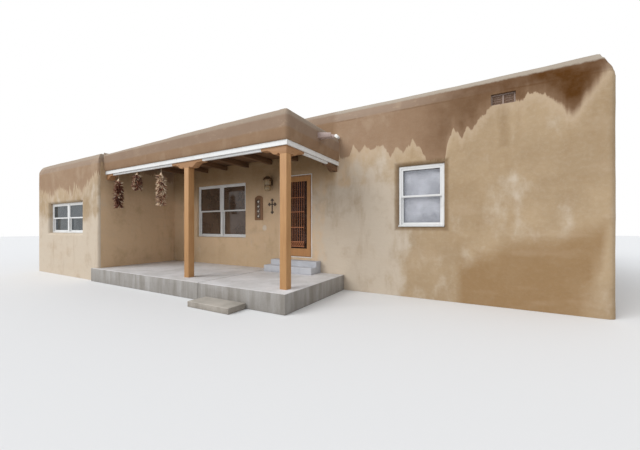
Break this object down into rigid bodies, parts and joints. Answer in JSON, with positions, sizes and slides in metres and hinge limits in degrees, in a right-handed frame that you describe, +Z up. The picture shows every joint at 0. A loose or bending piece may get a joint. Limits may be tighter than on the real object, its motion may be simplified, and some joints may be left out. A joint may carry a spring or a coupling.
{
  "type": "adobe house",
  "caption": "Single-storey flat-roofed adobe house with rounded parapets, a lower wing and a timber porch with carved corbels and a screened front door.",
  "frame": {"origin": "on the ground, under the middle of the whole plan", "axes": "+X along the front to its right end, +Y from the front to the back, +Z up"},
  "size_m": [14.84, 12.049, 4.2],
  "materials": {
    "adobe_plaster": "mottled tan mud plaster with darker damp stains under the parapets",
    "concrete": "pale grey trowelled concrete",
    "roof_covering": "gravelled flat roof covering",
    "cedar": "clear-finished orange-brown cedar",
    "dark_timber": "dark oiled timber",
    "white_board": "white painted board",
    "white_vinyl": "white window frames",
    "pane_glass": "window glass",
    "red_door_wood": "dark red-brown painted door",
    "dark_iron": "dark bronze-brown ironwork",
    "spout_metal": "pinkish grey painted sheet metal",
    "lamp_plastic": "white lamp housing",
    "plaque_wood": "stained board with pale tiles",
    "dried_chilli": "glossy dried chilli skins, dark red"
  },
  "bodies": {
    "house": {"front_wall_left": "adobe_plaster", "front_wall_right": "adobe_plaster", "front_wall_over_door": "adobe_plaster", "door_sill_wall": "adobe_plaster", "front_wall_over_wing": "adobe_plaster", "wing_sill_wall": "adobe_plaster", "right_wall": "adobe_plaster", "back_wall": "adobe_plaster", "left_wall": "adobe_plaster", "wing_front_wall": "adobe_plaster", "wing_left_wall": "adobe_plaster", "wing_right_wall": "adobe_plaster", "wing_header_beam": "dark_timber", "main_floor": "concrete", "wing_floor": "concrete", "main_ceiling": "dark_timber", "main_roof": "roof_covering", "wing_roof": "roof_covering", "porch_slab": "concrete", "door_steps": "concrete", "front_step_block": "concrete", "corner_post": "cedar", "middle_post": "cedar", "corner_corbel": "cedar", "middle_corbel": "cedar", "wing_wall_corbel": "cedar", "main_wall_corbel": "cedar", "porch_front_beam": "dark_timber", "porch_side_beam": "dark_timber", "porch_rafters": "dark_timber", "porch_roof_deck": "dark_timber", "porch_parapet": "adobe_plaster", "porch_fascia": "white_board", "porch_window_frame": "white_vinyl", "porch_window_glass": "pane_glass", "right_window_frame": "white_vinyl", "right_window_glass": "pane_glass", "wing_window_frame": "white_vinyl", "wing_window_glass": "pane_glass", "rear_window_frames": "white_vinyl", "rear_window_glass": "pane_glass", "door_frame": "white_vinyl", "wall_vent": "spout_metal", "porch_spout": "spout_metal", "back_spouts": "spout_metal", "floodlight": "lamp_plastic", "wall_lantern": "dark_iron", "number_plaque": "plaque_wood", "wall_cross": "dark_iron", "ristra_left": "dried_chilli", "ristra_middle": "dried_chilli", "ristra_right": "dried_chilli"},
    "screen_door": {"screen_door": "cedar", "screen_door_glass": "pane_glass", "screen_door_handle": "dark_iron"},
    "entry_door": {"entry_door": "red_door_wood", "entry_door_handle": "dark_iron"}
  },
  "joints": [
    {"name": "screen_door_hinge", "type": "hinge", "parent": "house", "child": "screen_door", "pos_m": [1.8255, -3.2835, 0.69], "axis": [0, 0, 1], "range_deg": [0, 105]},
    {"name": "entry_door_hinge", "type": "hinge", "parent": "house", "child": "entry_door", "pos_m": [1.8255, -3.1175, 0.69], "axis": [0, 0, -1], "range_deg": [0, 90]}
  ]
}
